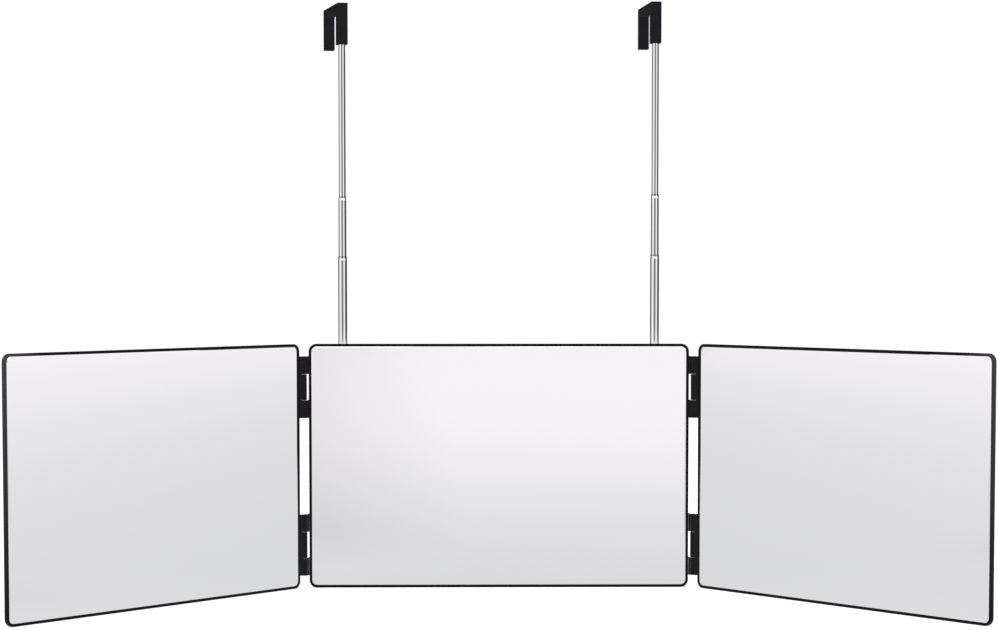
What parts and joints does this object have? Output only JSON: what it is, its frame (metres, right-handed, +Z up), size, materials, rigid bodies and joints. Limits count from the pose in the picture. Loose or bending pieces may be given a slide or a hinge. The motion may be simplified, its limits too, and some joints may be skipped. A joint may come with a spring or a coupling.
{
  "type": "makeup mirror",
  "caption": "Folding make-up mirror of three hinged landscape panels in thin black frames, on telescopic chromed rods with over-door hooks.",
  "frame": {"origin": "middle of the centre panel's foot, on the surface that it stands on", "axes": "+X to the viewer's right, +Y away from the viewer, out of the centre panel's back, +Z up along the rods"},
  "size_m": [0.6988, 0.3144, 0.4617],
  "materials": {
    "mirror_pane": "silvered float glass with a ground bevel",
    "frame_plastic": "satin black moulding",
    "cover_plastic": "fine textured black moulding",
    "hinge_plastic": "satin black moulding",
    "bracket_plastic": "black moulding",
    "plug_plastic": "black acetal",
    "hook_plastic": "satin black moulding",
    "foam": "closed-cell adhesive foam sheet",
    "chromed_tube": "polished",
    "pin_steel": "bright drawn steel",
    "screw_steel": "blackened steel",
    "tip_brass": "turned"
  },
  "bodies": {
    "centre_panel": {"centre_frame": "frame_plastic", "centre_mirror": "mirror_pane", "centre_mounting_pad": "foam", "centre_back_cover": "cover_plastic", "centre_cover_screws": "screw_steel", "centre_leaf_screws": "screw_steel", "rod_bracket_screws": "screw_steel", "left_rod_sleeve": "chromed_tube", "left_sleeve_end_cap": "plug_plastic", "left_lower_rod_bracket": "bracket_plastic", "left_upper_rod_bracket": "bracket_plastic", "left_lower_hinge_fixed_leaf": "hinge_plastic", "left_lower_hinge_pin": "pin_steel", "left_upper_hinge_fixed_leaf": "hinge_plastic", "left_upper_hinge_pin": "pin_steel", "right_rod_sleeve": "chromed_tube", "right_sleeve_end_cap": "plug_plastic", "right_lower_rod_bracket": "bracket_plastic", "right_upper_rod_bracket": "bracket_plastic", "right_lower_hinge_fixed_leaf": "hinge_plastic", "right_lower_hinge_pin": "pin_steel", "right_upper_hinge_fixed_leaf": "hinge_plastic", "right_upper_hinge_pin": "pin_steel"},
    "left_wing": {"left_wing_frame": "frame_plastic", "left_wing_mirror": "mirror_pane", "left_wing_mounting_pad": "foam", "left_wing_back_cover": "cover_plastic", "left_wing_cover_screws": "screw_steel", "left_wing_leaf_screws": "screw_steel", "left_lower_hinge_wing_leaf": "hinge_plastic", "left_upper_hinge_wing_leaf": "hinge_plastic"},
    "left_lower_tube": {"left_lower_tube": "chromed_tube", "left_lower_tube_plug": "plug_plastic"},
    "left_middle_tube": {"left_middle_tube": "chromed_tube", "left_middle_tube_plug": "plug_plastic"},
    "left_upper_tube": {"left_upper_tube": "chromed_tube", "left_upper_tube_plug": "plug_plastic", "left_upper_tube_tip": "tip_brass"},
    "left_hook": {"left_hook": "hook_plastic", "left_hook_pin": "pin_steel"},
    "right_wing": {"right_wing_frame": "frame_plastic", "right_wing_mirror": "mirror_pane", "right_wing_mounting_pad": "foam", "right_wing_back_cover": "cover_plastic", "right_wing_cover_screws": "screw_steel", "right_wing_leaf_screws": "screw_steel", "right_lower_hinge_wing_leaf": "hinge_plastic", "right_upper_hinge_wing_leaf": "hinge_plastic"},
    "right_lower_tube": {"right_lower_tube": "chromed_tube", "right_lower_tube_plug": "plug_plastic"},
    "right_middle_tube": {"right_middle_tube": "chromed_tube", "right_middle_tube_plug": "plug_plastic"},
    "right_upper_tube": {"right_upper_tube": "chromed_tube", "right_upper_tube_plug": "plug_plastic", "right_upper_tube_tip": "tip_brass"},
    "right_hook": {"right_hook": "hook_plastic", "right_hook_pin": "pin_steel"}
  },
  "joints": [
    {"name": "left_wing_fold", "type": "hinge", "parent": "centre_panel", "child": "left_wing", "pos_m": [-0.1535, -0.0031, 0.0965], "axis": [0, 0, 1], "range_deg": [-50, 130]},
    {"name": "left_lower_tube_slide", "type": "slide", "parent": "centre_panel", "child": "left_lower_tube", "axis": [0, 0, 1], "range_m": [-0.071, 0.0929]},
    {"name": "left_middle_tube_slide", "type": "slide", "parent": "left_lower_tube", "child": "left_middle_tube", "axis": [0, 0, 1], "range_m": [-0.0443, 0.1121]},
    {"name": "left_upper_tube_slide", "type": "slide", "parent": "left_middle_tube", "child": "left_upper_tube", "axis": [0, 0, 1], "range_m": [-0.1186, 0.0303]},
    {"name": "left_hook_swivel", "type": "hinge", "parent": "left_upper_tube", "child": "left_hook", "pos_m": [-0.1235, 0.0105, 0.4469], "axis": [0, 0, 1], "continuous": true},
    {"name": "right_wing_fold", "type": "hinge", "parent": "centre_panel", "child": "right_wing", "pos_m": [0.1535, -0.0031, 0.0965], "axis": [0, 0, -1], "range_deg": [-51.5, 78.5]},
    {"name": "right_lower_tube_slide", "type": "slide", "parent": "centre_panel", "child": "right_lower_tube", "axis": [0, 0, 1], "range_m": [-0.0725, 0.0914]},
    {"name": "right_middle_tube_slide", "type": "slide", "parent": "right_lower_tube", "child": "right_middle_tube", "axis": [0, 0, 1], "range_m": [-0.0446, 0.1118]},
    {"name": "right_upper_tube_slide", "type": "slide", "parent": "right_middle_tube", "child": "right_upper_tube", "axis": [0, 0, 1], "range_m": [-0.1181, 0.0308]},
    {"name": "right_hook_swivel", "type": "hinge", "parent": "right_upper_tube", "child": "right_hook", "pos_m": [0.1235, 0.0105, 0.4482], "axis": [0, 0, 1], "continuous": true}
  ]
}
